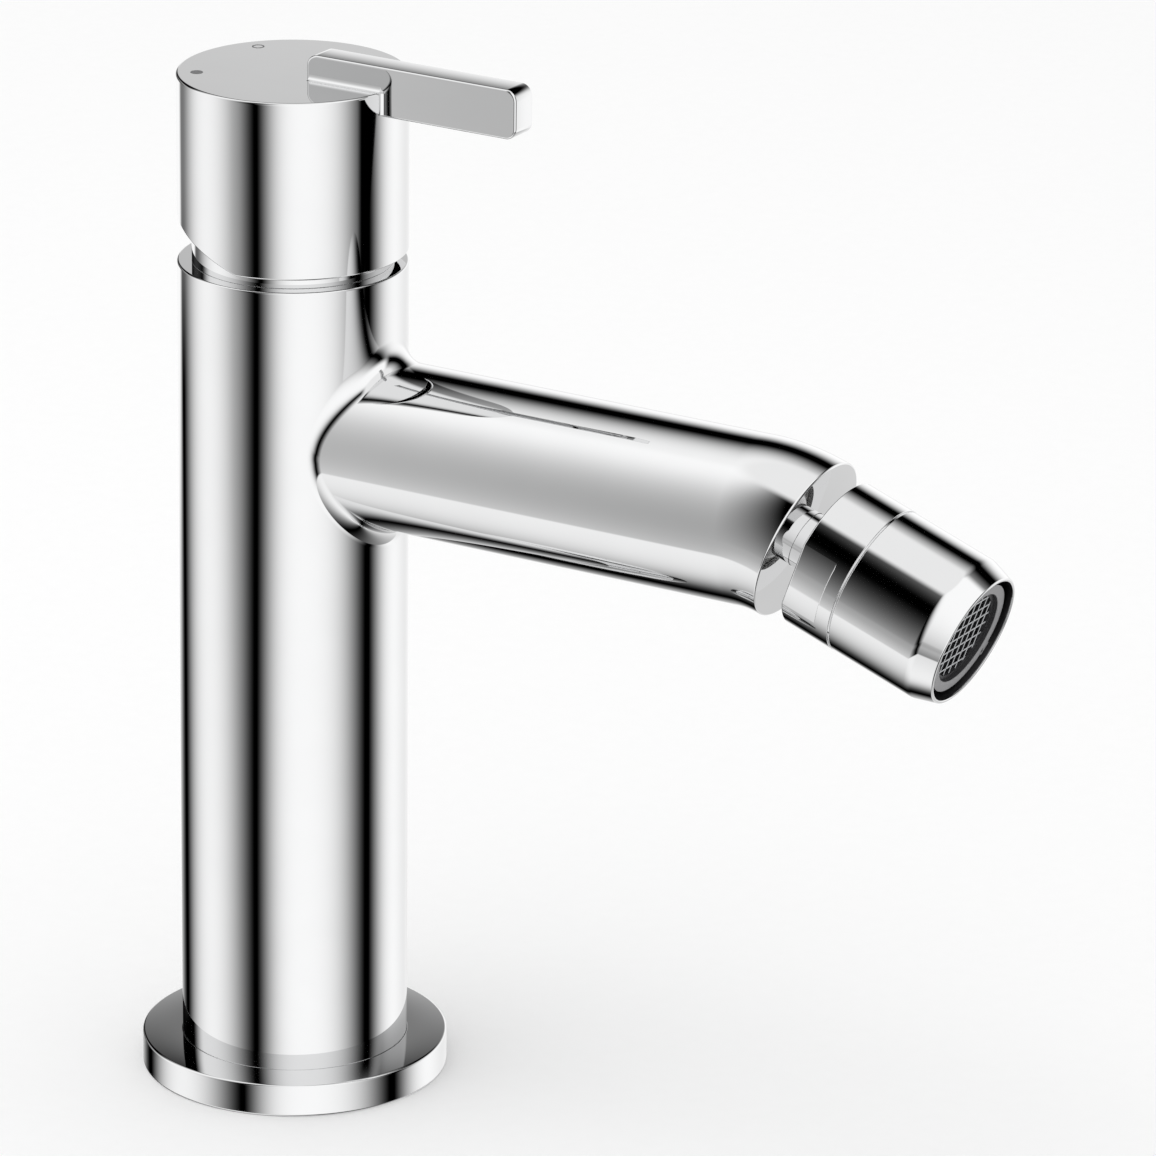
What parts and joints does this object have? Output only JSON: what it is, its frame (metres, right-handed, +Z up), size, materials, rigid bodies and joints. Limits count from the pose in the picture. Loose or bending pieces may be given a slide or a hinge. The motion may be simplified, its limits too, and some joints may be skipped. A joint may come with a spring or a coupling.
{
  "type": "bidet mixer",
  "caption": "Chrome single-lever bidet mixer: round column on a flange, bent side spout with a swivelling ball-joint nozzle, and a cap handle with a flat lever that turns and lifts.",
  "frame": {"origin": "on the column's axis at the deck, in the plane of the flange's underside", "axes": "+X along the spout and the lever, +Z up the column"},
  "size_m": [0.1657, 0.0542, 0.1874],
  "materials": {
    "chrome": "polished chrome plate on brass",
    "brass": "turned brass",
    "steel": "turned stainless steel",
    "ceramic": "lapped ceramic",
    "white_plastic": "moulded plastic",
    "grey_plastic": "moulded grey plastic",
    "rubber": "black rubber"
  },
  "bodies": {
    "mixer": {"body": "chrome", "base_flange": "chrome", "base_seal": "rubber", "port_seal": "rubber", "cartridge_housing": "white_plastic", "fixed_disc": "ceramic", "cartridge_nut": "brass", "trim_ring": "chrome", "ball_stud": "chrome", "stud_seal": "rubber"},
    "rotor": {"lever_carrier": "grey_plastic", "pivot_pin": "steel"},
    "slider": {"moving_disc": "ceramic", "disc_carrier": "grey_plastic"},
    "lever": {"handle": "chrome", "stem": "brass", "set_screw": "steel", "screw_plug": "chrome"},
    "seat": {"ball_seat": "white_plastic"},
    "nozzle": {"nozzle_collar": "chrome", "nozzle_sleeve": "chrome", "aerator_gasket": "rubber", "aerator_cage": "grey_plastic", "flow_regulator": "grey_plastic", "aerator_screen": "grey_plastic"}
  },
  "joints": [
    {"name": "handle_turn", "type": "hinge", "parent": "mixer", "child": "rotor", "pos_m": [0, 0, 0.1485], "axis": [0, 0, 1], "range_deg": [-45, 45]},
    {"name": "handle_lift", "type": "hinge", "parent": "rotor", "child": "lever", "pos_m": [0, 0, 0.1485], "axis": [0, -1, 0], "range_deg": [0, 20]},
    {"name": "disc_slide", "type": "slide", "parent": "rotor", "child": "slider", "axis": [1, 0, 0], "range_m": [0, 0.00399]},
    {"name": "nozzle_swivel", "type": "hinge", "parent": "mixer", "child": "seat", "pos_m": [0.11271, 0, 0.11395], "axis": [0.9397, 0, -0.342], "continuous": true},
    {"name": "nozzle_tilt", "type": "hinge", "parent": "seat", "child": "nozzle", "pos_m": [0.11271, 0, 0.11395], "axis": [0, 1, 0], "range_deg": [-15, 15]}
  ],
  "couplings": [
    {"joint": "disc_slide", "follows": "handle_lift", "m_per_rad": 0.011415}
  ]
}
